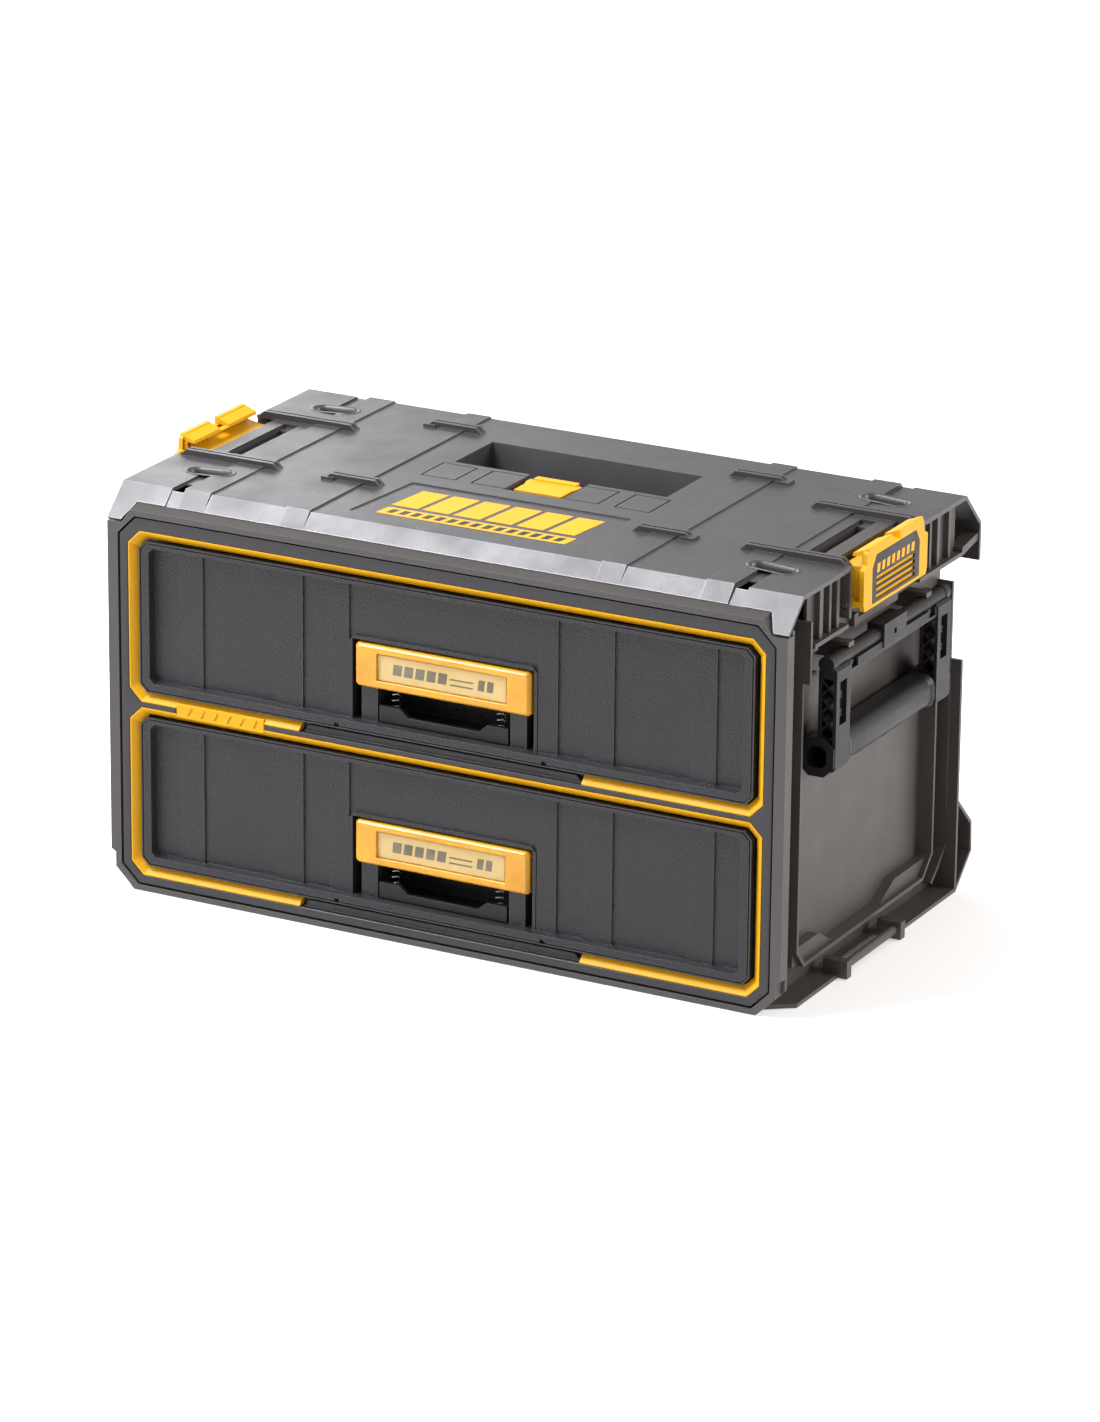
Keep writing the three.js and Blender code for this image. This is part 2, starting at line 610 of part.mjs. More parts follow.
function drawerFront() {
  const slab = prismY(chamfered([-FRONT_HALF, FRONT_HALF], [0, FRONT_HEIGHT], 5.7),
    [FRONT_Y, FRONT_Y + FRONT_THICK]);
  const rimGroove = cut(
    prismY(chamfered([-244, 244], [1, FRONT_HEIGHT - 1], 5.4), [0, FRONT_Y + 1.2]),
    prismY(chamfered([-243, 243], [2, FRONT_HEIGHT - 2], 5.1), [-1, FRONT_Y + 2]),
  );
  const recess = taperY(
    chamfered([-RECESS.half - 1.5, RECESS.half + 1.5], [RECESS.z[0] - 1.5, RECESS.z[1] + 1.5], 3.6),
    chamfered([-RECESS.half, RECESS.half], RECESS.z, 3),
    [FRONT_Y - 0.5, FRONT_Y + RECESS.depth],
  );
  const ribs = bothSides((s) => FRONT_RIBS.map(([x0, x1]) =>
    block([s * x0, s * x1], [FRONT_Y + RECESS.depth - FRONT_RIB_RISE, FRONT_Y + RECESS.depth + 1],
      [RECESS.z[0] - 0.5, RECESS.z[1] + 0.5])));
  const cup = block([-POCKET_HALF - 2.5, POCKET_HALF + 2.5],
    [FRONT_Y + FRONT_THICK - 1, POCKET_DEPTH + 2.5], [POCKET_FLOOR - 2, POCKET_TOP + 2.5]);
  const surround = prismY(chamfered([-POCKET_HALF - 2.5, POCKET_HALF + 2.5], [2, POCKET_TOP + 2.5], 4),
    [FRONT_Y + 4.6, FRONT_Y + FRONT_THICK]);
  const hollow = block([-POCKET_HALF, POCKET_HALF], [-1, POCKET_DEPTH], [POCKET_FLOOR, POCKET_TOP]);
  const posts = bothSides((s) =>
    block([s * 53, s * 66], [8, POCKET_DEPTH + 1], [POCKET_FLOOR - 1, GRIP_Z - GAP]));
  const pinHoles = bothSides((s) => block([s * 81, s * 85], [-1, FRONT_Y + 3], [0.8, 4]));
  const front = cut(join(cut(slab, rimGroove, recess), ribs, surround, cup), hollow, pinHoles);
  return join(front, posts);
}

// The pull bar in the pocket, with a window seat for the label.
function drawerGrip() {
  const z = [GRIP_Z, GRIP_Z + GRIP_HEIGHT];
  const face = 4;
  const bar = join(
    taperY(chamfered([-68, 68], [z[0] + 2, z[1] - 2], 1.2), chamfered([-70, 70], z, 2), [face, face + 3]),
    prismY(chamfered([-70, 70], z, 2), [face + 3, face + 14]),
    bothSides((s) => block([s * 58, s * 70], [face + 10, POCKET_DEPTH - GAP], [z[0] + 10, z[1] - 4])),
  );
  const seat = block([-52, 52], [face - 1, face + 2.6], [GRIP_Z + 6.5, GRIP_Z + 26.5]);
  const back = block([-54, 54], [face + 6, face + 15], [z[0] - 1, z[1] - 6]);
  return cut(bar, seat, back);
}

const labelCard = () => block([-50.5, 50.5], [5.9, 6.3], [GRIP_Z + 7.2, GRIP_Z + 25.8]);

function labelWindow() {
  const [z0, z1] = [GRIP_Z + 7, GRIP_Z + 26];
  return taperY(chamfered([-50.8, 50.8], [z0 + 0.6, z1 - 0.6], 0.8), chamfered([-51.4, 51.4], [z0, z1], 0.8),
    [4.2, 5.6]);
}

// The lift plate under the grip, with its two lugs and stepped upper edge.
function drawerTrigger() {
  const z = TRIGGER_Z;
  const outline = mirrored([[51.5, z], [51.5, z + 12], [35, z + 12], [28, z + 6], [12, z + 6]]);
  const plate = prismY(outline, [7.5, 11]);
  const shelf = block([-51.5, 51.5], [7.5, 19], [z, z + 3]);
  const seats = bothSides((s) => rodZ(s * 42, 15, 2.2, [z + 2, z + 4.4], 8));
  return join(plate, shelf, seats);
}

function triggerSpring(x) {
  const foot = TRIGGER_Z + 3 + GAP;
  return coil(3.4, 0.5, 4, GRIP_Z - GAP - foot).translate(x, 15, foot);
}

function drawerBin() {
  const [y0, y1] = [FRONT_Y + FRONT_THICK + GAP, BIN_BACK_Y];
  const outer = block([-BIN_HALF, BIN_HALF], [y0, y1], [BIN_FLOOR, BIN_TOP]);
  const inside = BIN_HALF - 2.5;
  const inner = block([-inside, inside], [y0 + 2.5, y1 - 2.5], [BIN_FLOOR + 2.5, BIN_TOP + 1]);
  const notch = block([-POCKET_HALF - 3, POCKET_HALF + 3], [y0 - 1, y0 + 3],
    [POCKET_FLOOR - 2.4, POCKET_TOP + 3]);
  return cut(outer, inner, notch);
}

function drawerStop(x) {
  return block([x - 9, x + 9], [BIN_BACK_Y + GAP, BIN_BACK_Y + 7], [60, 76]);
}

function drawer(level) {
  const group = new THREE.Group();
  for (const [side, s] of [["left", -1], ["right", 1]]) {
    group.add(
      piece(`${level}_${side}_slide_outer`, outerRail(s), "steel"),
      piece(`${level}_${side}_slide_middle`, middleRail(s), "steel"),
      piece(`${level}_${side}_slide_inner`, innerRail(s), "steel"),
      piece(`${level}_${side}_trigger_spring`, triggerSpring(s * 42), "steel"),
      piece(`${level}_${side}_drawer_stop`, drawerStop(s * 180), "black"),
    );
  }
  group.add(
    piece(`${level}_drawer_bin`, drawerBin(), "bin"),
    piece(`${level}_drawer_front`, drawerFront(), "front"),
    piece(`${level}_drawer_grip`, drawerGrip(), "amber"),
    piece(`${level}_label_card`, labelCard(), "card"),
    piece(`${level}_label_window`, labelWindow(), "clear"),
    piece(`${level}_drawer_trigger`, drawerTrigger(), "black"),
  );
  return group;
}

// ---------------------------------------------------------------- side latch (drawn on the right)
function latchBody() {
  const [y0, y1] = [103.5, 206.5];
  const plate = prismX(
    [
      [y0, 272], [y0 + 2, 267], [y1 - 2, 267], [y1, 272], [y1, 297],
      [y1 - 6, 300], [y1 - 7, 308], [y1 - 10, 311], [y0 + 8, 311], [y0 + 5, 308], [y0 + 4, 300], [y0, 297],
    ],
    [LATCH_OUT - 3.4, LATCH_OUT],
  );
  const lip = prismY([[276.4, 308.6], [276.4, 311.4], [265, 307], [264.5, 304.6], [273, 306]], [110, 198]);
  const shelf = prismY([[256, 294], [256, 296.2], [274, 299.5], [274, 297]], [108, 202]);
  const webs = [108, 139, 168.5, 199.5].map((wy) =>
    prismY([[264, 277], [274, 270], [274, 299], [257, 296]], [wy, wy + 2.5]));
  const hub = rodY(LATCH_PIN.x, LATCH_PIN.z, 5, [y0, y1], 14);
  const hubWeb = block([LATCH_PIN.x, 274], [y0, y1], [270.5, 274.5]);
  const bore = rodY(LATCH_PIN.x, LATCH_PIN.z, 2.9, [90, 220], 12);
  const lipNotch = block([262, 280], [149, 161], [305.4, 314]);
  const springBay = block([258, 270.5], [146, 164], [264, 282]);
  const seat = prismX(insertOutline(GAP), [LATCH_OUT - 1.6, LATCH_OUT + 1]);
  return cut(join(plate, lip, shelf, webs, hub, hubWeb), bore, lipNotch, springBay, seat);
}

function insertOutline(grow) {
  const [y0, y1, z0, z1] = [117 - grow, 193 + grow, 269.5 - grow, 304 + grow];
  return [[y0, z0], [y1, z0], [y1, z1 - 9], [y1 - 6, z1], [y0 + 6, z1], [y0, z1 - 9]];
}

function latchInsert() {
  const stripes = [271.5, 276, 280.5, 285].map((z) => block([270, 280], [124, 186], [z, z + 2.8]));
  return cut(prismX(insertOutline(0), [LATCH_OUT - 1.3, LATCH_OUT - 0.1]), stripes);
}

const latchPin = () => rodY(LATCH_PIN.x, LATCH_PIN.z, 2.4, [98, 212], 12);

function latchSpring() {
  const spring = coil(4.2, 0.6, 4, 13).rotateX(-Math.PI / 2);
  return spring.translate(LATCH_PIN.x, 148.5, LATCH_PIN.z);
}

function latch(side) {
  const group = new THREE.Group();
  group.add(
    piece(`${side}_latch_body`, latchBody(), "yellow"),
    piece(`${side}_latch_insert`, latchInsert(), "black"),
    piece(`${side}_latch_pin`, latchPin(), "steel"),
    piece(`${side}_latch_spring`, latchSpring(), "steel"),
  );
  return group;
}

// ---------------------------------------------------------------- carry handle (drawn on the right)
const BAIL_GRIP = { x: [250.7, 277.6], z: [160, 187] };
const BAIL_ARM_Y = [[62, 84], [226, 248]];
const BAIL_ARM_X = [264, BAIL_OUT];
const BAIL_ARM_TOP = 238;
const BAIL_BEAM_Z = 229.6;

function bailFrame() {
  const { x, z } = BAIL_AXIS;
  const bar = rodY(x, z, 5.5, [BAIL_FRONT_Y, BAIL_BACK_Y], 16);
  const centreBlock = cut(
    block([264.5, BAIL_OUT], [137, 173], [232, 249]),
    block([275, 280], [153, 157], [238, 242]),
  );
  const ends = BAIL_ARM_Y.map(([y0, y1]) => {
    const front = y0 < SIDE_MID_Y;
    const arm = cut(
      prismY(chamfered(BAIL_ARM_X, [BAIL_GRIP.z[0] + 3, BAIL_ARM_TOP], 2), [y0, y1]),
      block([274, 280], [y0 + 5, y1 - 6], [196, 228]),
      block([266.5, 275.5], [y0 - 1, y0 + 12], [176, 230]),
    );
    const socket = prismY(chamfered(BAIL_GRIP.x, [BAIL_GRIP.z[0] - 1, BAIL_GRIP.z[1] + 0.6], 7.5),
      front ? [y0 - 2, y1] : [y0, y1 + 2]);
    const core = prismY(chamfered([254, 274.5], [BAIL_GRIP.z[0] + 3, BAIL_GRIP.z[1] - 3.5], 4),
      front ? [y1 - 2, SIDE_MID_Y] : [SIDE_MID_Y, y0 + 2]);
    const collar = rodY(x, z, 6.1, front ? [BAIL_FRONT_Y, y0 + 5] : [y1 - 5, BAIL_BACK_Y], 16);
    return [arm, socket, core, collar, latticeBars(y0)];
  });
  const bore = prismY(chamfered([256.5, 272], [BAIL_GRIP.z[0] + 5.5, BAIL_GRIP.z[1] - 6], 3), [50, 260]);
  const beam = cut(
    block([266, 277], [BAIL_ARM_Y[0][1] - 1, BAIL_ARM_Y[1][0] + 1], [BAIL_BEAM_Z, 237]),
    CLIP_Y.map((y) => block([260, 280], [y - 5, y + 5], [BAIL_BEAM_Z + 1.8, 240])),
  );
  return cut(join(bar, beam, centreBlock, ends), bore);
}

// Crossed stiffening bars inside the arm's open front.
function latticeBars(y0) {
  const [x0, x1] = [266, 276];
  return Array.from({ length: 4 }, (_, i) => {
    const z = 178 + i * 13;
    const span = [y0 + 1.5, y0 + 12.5];
    return [
      prismY([[x0, z], [x1, z + 10.3], [x1, z + 12], [x0, z + 1.7]], span),
      prismY([[x1, z + 0.2], [x0, z + 10.5], [x0, z + 12.2], [x1, z + 1.9]], span),
    ];
  }).flat();
}

function bailSleeve() {
  const outer = prismY(chamfered(BAIL_GRIP.x, BAIL_GRIP.z, 7.2), [84.4, 225.6]);
  const bumps = Array.from({ length: 5 }, (_, i) =>
    rodX(115 + i * 20, BAIL_GRIP.z[0] + 9, 11, [256, 272], 16));
  const coreZ = [BAIL_GRIP.z[0] + 2.6, BAIL_GRIP.z[1] - 3.1];
  const core = prismY(chamfered([253.6, 274.9], coreZ, 4.2), [80, 230]);
  return cut(join(outer, bumps), core);
}

function bail(side) {
  const group = new THREE.Group();
  group.add(
    piece(`${side}_bail_frame`, bailFrame(), "black"),
    piece(`${side}_bail_grip`, bailSleeve(), "black"),
  );
  return group;
}

// ---------------------------------------------------------------- assembly
const storageUnit = new THREE.Group();
const caseGroup = new THREE.Group();
caseGroup.position.y = -DEPTH / 2;
storageUnit.add(caseGroup);

caseGroup.add(
  piece("front_frame", frontFrame(), "shell"),
  piece("housing_shell", housingShell(), "shell"),
  piece("left_side_wall", sideWall(-1), "shell"),
  piece("right_side_wall", sideWall(1), "shell"),
  piece("deck_cover", deckPanel([-PANEL_SEAM_X, PANEL_SEAM_X]), "deck"),
  piece("left_deck_end", deckEnd(-1), "deck"),
  piece("right_deck_end", deckEnd(1), "deck"),
  piece("left_deck_skirt", deckSkirt(-1), "shell"),
  piece("right_deck_skirt", deckSkirt(1), "shell"),
  piece("front_fascia", frontFascia(), "fascia"),
  piece("upper_trim", trim(TRIM_Z.upper), "yellow"),
  piece("lower_trim", trim(TRIM_Z.lower), "yellow"),
  piece("trim_nameplate", nameplate(), "yellow"),
  piece("deck_tab", deckTab(), "yellow"),
  piece("deck_tab_spring", tabSpring(), "steel"),
);

for (const [level, z] of [["upper", UPPER_DRAWER_Z], ["lower", UPPER_DRAWER_Z - DRAWER_PITCH]]) {
  const group = drawer(level);
  group.position.z = z;
  caseGroup.add(group);
}

// The left side is the right side turned half way round the case's vertical middle line.
for (const side of ["right", "left"]) {
  const group = new THREE.Group();
  group.add(latch(side), bail(side));
  if (side === "left") {
    group.rotation.z = Math.PI;
    group.position.y = 2 * SIDE_MID_Y;
  }
  caseGroup.add(group);
}

export default storageUnit;
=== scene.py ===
"""The look of a stackable two-drawer tool box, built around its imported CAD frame. Metres, +Z up."""

import json
import math

import bmesh
import bpy
from mathutils import Matrix, Vector


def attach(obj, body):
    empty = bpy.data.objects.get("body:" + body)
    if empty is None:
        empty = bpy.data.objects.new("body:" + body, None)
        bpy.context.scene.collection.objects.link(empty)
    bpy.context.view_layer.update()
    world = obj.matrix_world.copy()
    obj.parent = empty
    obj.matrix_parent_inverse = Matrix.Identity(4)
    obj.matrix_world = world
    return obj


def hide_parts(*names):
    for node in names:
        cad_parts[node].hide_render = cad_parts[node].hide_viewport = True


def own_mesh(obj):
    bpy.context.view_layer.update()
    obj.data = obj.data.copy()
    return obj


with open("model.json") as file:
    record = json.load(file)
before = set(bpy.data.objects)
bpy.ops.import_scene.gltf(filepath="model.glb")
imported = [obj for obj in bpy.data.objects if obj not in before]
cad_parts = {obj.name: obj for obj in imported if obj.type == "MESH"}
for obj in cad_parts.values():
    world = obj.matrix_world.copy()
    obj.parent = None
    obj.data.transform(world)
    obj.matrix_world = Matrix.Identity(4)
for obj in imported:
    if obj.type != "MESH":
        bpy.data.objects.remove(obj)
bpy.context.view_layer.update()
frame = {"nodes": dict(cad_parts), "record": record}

MM = 0.001
CASE_DEPTH = 314.0
DECK_TOP = 301.0
SIDES = {"right": 1, "left": -1}
DRAWER_FEET = {"upper": 152.0, "lower": 19.5}


# ---------------------------------------------------------------- camera, light and floor
CAMERA_AT = Vector((2.1057, -3.9587, 1.6905))
CAMERA_AZIMUTH = math.radians(27.952)
CAMERA_ELEVATION = math.radians(19.166)
CAMERA_ROLL = math.radians(0.555)
LENS = 166.75

# Each light's place, what it faces, its width and height, its power in watts and its colour.
LIGHTS = {
    "top_light": ((-1.2, -0.8, 2.4), (0, 0, 0.2), (1.5, 1.0), 138, (0.94, 0.95, 1.0)),
    "left_light": ((-3.0, -1.6, 1.2), (0, 0, 0.2), (1.2, 1.8), 34),
    "back_light": ((-2.6, 2.4, 1.3), (0, 0, 0.25), (1.8, 0.9), 34, (0.97, 0.98, 1.0)),
    "right_light": ((3.0, 1.2, 1.5), (0.2, 0, 0.15), (1.6, 1.2), 105, (1.0, 0.92, 0.87)),
}
FLOOR_REACH = 20
FLOOR_DROP = 0.0005


def make_camera():
    data = bpy.data.cameras.new("camera")
    data.lens = LENS
    data.sensor_width = 36
    data.clip_end = 100
    camera = bpy.data.objects.new("camera", data)
    turn = (
        Matrix.Rotation(CAMERA_AZIMUTH, 4, "Z")
        @ Matrix.Rotation(math.pi / 2 - CAMERA_ELEVATION, 4, "X")
        @ Matrix.Rotation(CAMERA_ROLL, 4, "Z")
    )
    camera.matrix_world = Matrix.Translation(CAMERA_AT) @ turn
    bpy.context.scene.collection.objects.link(camera)
    bpy.context.scene.camera = camera


def soft_light(name, place, target, size, power, colour=(1, 1, 1)):
    data = bpy.data.lights.new(name, "AREA")
    data.shape = "RECTANGLE"
    data.size, data.size_y = size
    data.energy = power
    data.color = colour
    light = bpy.data.objects.new(name, data)
    light.location = place
    light.rotation_euler = (Vector(target) - Vector(place)).to_track_quat("-Z", "Y").to_euler()
    bpy.context.scene.collection.objects.link(light)


def make_studio():
    world = bpy.data.worlds.new("studio")
    world.use_nodes = True
    background = world.node_tree.nodes["Background"]
    background.inputs["Color"].default_value = (1, 1, 1, 1)
    background.inputs["Strength"].default_value = 0.7
    bpy.context.scene.world = world
    bpy.context.scene.view_settings.view_transform = "Standard"
    for name, setting in LIGHTS.items():
        soft_light(name, *setting)
    make_floor()


def make_floor():
    mesh = bpy.data.meshes.new("floor")
    corners = [(x * FLOOR_REACH, y * FLOOR_REACH, 0) for x, y in ((-1, -1), (1, -1), (1, 1), (-1, 1))]
    mesh.from_pydata(corners, [], [(0, 1, 2, 3)])
    floor = bpy.data.objects.new("floor", mesh)
    floor.location.z = -FLOOR_DROP
    bpy.context.scene.collection.objects.link(floor)
    material = bpy.data.materials.new("pale_floor")
    material.use_nodes = True
    shader = material.node_tree.nodes["Principled BSDF"]
    shader.inputs["Base Color"].default_value = (0.62, 0.62, 0.62, 1)
    shader.inputs["Roughness"].default_value = 0.7
    shader.inputs["Emission Color"].default_value = (1, 1, 1, 1)
    shader.inputs["Emission Strength"].default_value = 0.42
    mesh.materials.append(material)


# ---------------------------------------------------------------- materials
class Shader:
    """A material's node tree with short calls for the nodes that the finishes share."""

    def __init__(self, name):
        self.material = bpy.data.materials.new(name)
        self.material.use_nodes = True
        self.tree = self.material.node_tree
        self.bsdf = self.tree.nodes["Principled BSDF"]
        self.place = self.tree.nodes.new("ShaderNodeTexCoord").outputs["Object"]

    def link(self, output, target):
        self.tree.links.new(output, target)

    def noise(self, scale, detail=3, roughness=0.55, stretch=None):
        node = self.tree.nodes.new("ShaderNodeTexNoise")
        node.inputs["Scale"].default_value = scale
        node.inputs["Detail"].default_value = detail
        node.inputs["Roughness"].default_value = roughness
        place = self.place
        if stretch:
            mapping = self.tree.nodes.new("ShaderNodeMapping")
            mapping.inputs["Scale"].default_value = stretch
            self.link(place, mapping.inputs["Vector"])
            place = mapping.outputs["Vector"]
        self.link(place, node.inputs["Vector"])
        return node.outputs["Fac"]

    def cells(self, scale):
        node = self.tree.nodes.new("ShaderNodeTexVoronoi")
        node.feature = "SMOOTH_F1"
        node.inputs["Scale"].default_value = scale
        self.link(self.place, node.inputs["Vector"])
        return node.outputs["Distance"]

    def ramp(self, value, low, high, to_low=0.0, to_high=1.0):
        node = self.tree.nodes.new("ShaderNodeMapRange")
        node.inputs["From Min"].default_value = low
        node.inputs["From Max"].default_value = high
        node.inputs["To Min"].default_value = to_low
        node.inputs["To Max"].default_value = to_high
        self.link(value, node.inputs["Value"])
        return node.outputs["Result"]

    def mix(self, fac, a, b):
        """A colour between a and b; each is a colour or an output."""
        node = self.tree.nodes.new("ShaderNodeMix")
        node.data_type = "RGBA"
        self.link(fac, node.inputs["Factor"])
        for socket, value in (("A", a), ("B", b)):
            target = [i for i in node.inputs if i.name == socket and i.type == "RGBA"][0]
            if isinstance(value, bpy.types.NodeSocket):
                self.link(value, target)
            else:
                target.default_value = (*value, 1)
        return [o for o in node.outputs if o.type == "RGBA"][0]

    def blend(self, fac, value, other):
        """A number between an output and a fixed value."""
        node = self.tree.nodes.new("ShaderNodeMix")
        self.link(fac, node.inputs[0])
        self.link(value, node.inputs[2])
        node.inputs[3].default_value = other
        return node.outputs[0]

    def edges(self, radius=0.0012):
        """One along sharp edges, nought elsewhere."""
        rounded = self.tree.nodes.new("ShaderNodeBevel")
        rounded.samples = 4
        rounded.inputs["Radius"].default_value = radius
        geometry = self.tree.nodes.new("ShaderNodeNewGeometry")
        likeness = self.tree.nodes.new("ShaderNodeVectorMath")
        likeness.operation = "DOT_PRODUCT"
        self.link(rounded.outputs["Normal"], likeness.inputs[0])
        self.link(geometry.outputs["Normal"], likeness.inputs[1])
        return self.ramp(likeness.outputs["Value"], 0.98, 0.8)

    def bump(self, height, strength, distance, under=None):
        node = self.tree.nodes.new("ShaderNodeBump")
        node.inputs["Strength"].default_value = strength
        node.inputs["Distance"].default_value = distance
        self.link(height, node.inputs["Height"])
        if under:
            self.link(under, node.inputs["Normal"])
        return node.outputs["Normal"]


def shade(colour, factor):
    """A colour made darker or lighter, no lighter than white."""
    return tuple(min(1, c * factor) for c in colour)


def moulded(name, colour, roughness=0.5, grain=1400, grain_depth=0.35, patch=9, variation=0.1,
            edge_wear_and_highlight=1.6, specular=0.5, leather=0):
    """Moulded plastic: fine grain, slow mottling of colour and gloss, and lighter, glossier edges; the
    lighter edges are partly rubbed wear and partly a painted highlight.
    """
    s = Shader(name)
    patches = s.noise(patch, detail=5, roughness=0.62)
    mottling = s.ramp(patches, 0.32, 0.7)
    base = s.mix(mottling, shade(colour, 1 - variation), shade(colour, 1 + variation))
    scuffs = s.noise(70, detail=8, roughness=0.72, stretch=(1, 0.35, 1))
    base = s.mix(s.ramp(scuffs, 0.62, 0.82, 0, 0.12), base, shade(colour, 1.9))
    # Sharp edges are painted lighter: partly rubbed wear, partly a painted highlight along them.
    base = s.mix(s.edges(), base, shade(colour, edge_wear_and_highlight))
    s.link(base, s.bsdf.inputs["Base Color"])
    gloss = s.ramp(s.noise(28, detail=4), 0.3, 0.7, roughness - 0.06, roughness + 0.07)
    s.link(s.blend(s.edges(), gloss, roughness * 0.6), s.bsdf.inputs["Roughness"])
    normal = s.bump(s.noise(grain, detail=2), grain_depth, 0.0004)
    if leather:
        normal = s.bump(s.cells(leather), 0.9, 0.0005, under=normal)
    s.link(normal, s.bsdf.inputs["Normal"])
    s.bsdf.inputs["Specular IOR Level"].default_value = specular
    return s.material


def translucent(name, colour, deep, roughness=0.25):
    """Tinted plastic that light soaks into, deeper in patches and along its edges."""
    s = Shader(name)
    base = s.mix(s.ramp(s.noise(26, detail=4), 0.3, 0.7), colour, deep)
    base = s.mix(s.edges(), base, deep)
    s.link(base, s.bsdf.inputs["Base Color"])
    gloss = s.ramp(s.noise(60), 0.3, 0.7, roughness - 0.05, roughness + 0.08)
    s.link(gloss, s.bsdf.inputs["Roughness"])
    s.link(s.bump(s.noise(900, detail=2), 0.12, 0.0003), s.bsdf.inputs["Normal"])
    s.bsdf.inputs["Subsurface Weight"].default_value = 0.15
    s.bsdf.inputs["Subsurface Radius"].default_value = (1.0, 0.45, 0.08)
    s.bsdf.inputs["Subsurface Scale"].default_value = 0.006
    s.bsdf.inputs["Coat Weight"].default_value = 0.15
    s.bsdf.inputs["Coat Roughness"].default_value = 0.12
    return s.material


def clear_window(name, tint):
    """A clear plastic pane, a little hazy, with fine scratches in its gloss."""
    s = Shader(name)
    haze = s.ramp(s.noise(35, detail=4), 0.35, 0.7)
    s.link(s.mix(haze, tint, shade(tint, 0.93)), s.bsdf.inputs["Base Color"])
    scratches = s.noise(160, detail=6, stretch=(0.15, 1, 1))
    s.link(s.ramp(scratches, 0.3, 0.7, 0.05, 0.14), s.bsdf.inputs["Roughness"])
    s.link(s.ramp(s.noise(60, detail=3), 0.3, 0.7, 0.05, 0.1), s.bsdf.inputs["Alpha"])
    s.bsdf.inputs["Coat Weight"].default_value = 0.1
    return s.material


def metal(name, colour, roughness=0.32, stretch=(1, 0.04, 1), scale=900):
    """Plated sheet or wire with drawn marks along its length and dull spots."""
    s = Shader(name)
    marks = s.noise(scale, detail=4, stretch=stretch)
    spots = s.noise(40, detail=6, roughness=0.7)
    base = s.mix(s.ramp(spots, 0.35, 0.7), colour, shade(colour, 0.8))
    s.link(base, s.bsdf.inputs["Base Color"])
    s.link(s.ramp(marks, 0.3, 0.7, roughness - 0.1, roughness + 0.12), s.bsdf.inputs["Roughness"])
    s.link(s.bump(marks, 0.12, 0.0002), s.bsdf.inputs["Normal"])
    s.bsdf.inputs["Metallic"].default_value = 1
    return s.material


def printed_card(name, colour):
    """Card with fine fibres along its length."""
    s = Shader(name)
    fibres = s.noise(700, detail=5, stretch=(0.3, 1, 1))
    base = s.mix(s.ramp(fibres, 0.3, 0.7), shade(colour, 0.92), colour)
    s.link(base, s.bsdf.inputs["Base Color"])
    s.bsdf.inputs["Roughness"].default_value = 0.85
    s.link(s.bump(fibres, 0.2, 0.0002), s.bsdf.inputs["Normal"])
    return s.material


# The moulded finishes: colour and roughness, and what sets each one apart. The edge factor paints edges
# lighter, partly as rubbed wear and partly as a painted highlight.
MOULDED = {
    "shell_plastic": ((0.046, 0.040, 0.037), 0.46, {}),
    "deck_plastic": ((0.036, 0.034, 0.035), 0.38, {"edge_wear_and_highlight": 2.6}),
    "fascia_plastic": ((0.020, 0.019, 0.021), 0.38, {"edge_wear_and_highlight": 3.2, "specular": 0.42}),
    "drawer_plastic": ((0.014, 0.013, 0.015), 0.4, {"edge_wear_and_highlight": 3.2, "specular": 0.38, "leather": 700}),
    "black_plastic": ((0.008, 0.0075, 0.0075), 0.42, {"edge_wear_and_highlight": 3.4, "specular": 0.3}),
    "black_rubber": ((0.012, 0.012, 0.012), 0.75, {"edge_wear_and_highlight": 1.4, "specular": 0.3}),
    "bin_plastic": ((0.022, 0.022, 0.024), 0.5, {}),
    "yellow_plastic": ((0.58, 0.285, 0.004), 0.5, {"edge_wear_and_highlight": 1.12, "specular": 0.22, "variation": 0.05}),
}


def make_finishes():
    """Every finish by the name of its material slot."""
    made = {name: moulded(name, colour, rough, **more) for name, (colour, rough, more) in MOULDED.items()}
    made["amber_plastic"] = translucent("amber_plastic", (0.60, 0.31, 0.004), (0.50, 0.21, 0.002))
    made["clear_window"] = clear_window("clear_window", (0.98, 0.84, 0.56))
    made["label_card"] = printed_card("label_card", (0.50, 0.34, 0.10))
    made["slide_steel"] = metal("slide_steel", (0.34, 0.345, 0.36))
    made["spring_steel"] = metal("spring_steel", (0.38, 0.385, 0.40), 0.25, stretch=(1, 1, 1))
    return made


# ---------------------------------------------------------------- CAD nodes
# How far a node's edges are rounded, in millimetres, for names that hold each word.
BEVELS = {
    "deck_cover": 0.9,
    "deck_end": 0.9,
    "deck_skirt": 0.5,
    "housing_shell": 0.8,
    "front_frame": 1.0,
    "side_wall": 0.6,
    "front_fascia": 1.0,
    "drawer_bin": 0.6,
    "drawer_front": 1.4,
    "drawer_grip": 1.2,
    "latch_body": 0.6,
    "bail_frame": 0.8,
}
SMALL_BEVEL = 0.35
WELD_GAP = 0.02
HARD_EDGE_DEGREES = 28


def soften(node, width):
    """Rounds a CAD node's hard edges and evens its shading with modifiers. Its mesh keeps its shape."""
    weld = node.modifiers.new("weld", "WELD")
    weld.merge_threshold = WELD_GAP * MM
    bevel = node.modifiers.new("bevel", "BEVEL")
    bevel.width = width * MM
    bevel.segments = 2
    bevel.limit_method = "ANGLE"
    bevel.angle_limit = math.radians(HARD_EDGE_DEGREES)
    bevel.use_clamp_overlap = True
    bevel.miter_outer = "MITER_ARC"
    even = node.modifiers.new("even_normals", "WEIGHTED_NORMAL")
    even.mode = "FACE_AREA"
    even.weight = 100
    for polygon in node.data.polygons:
        polygon.use_smooth = True


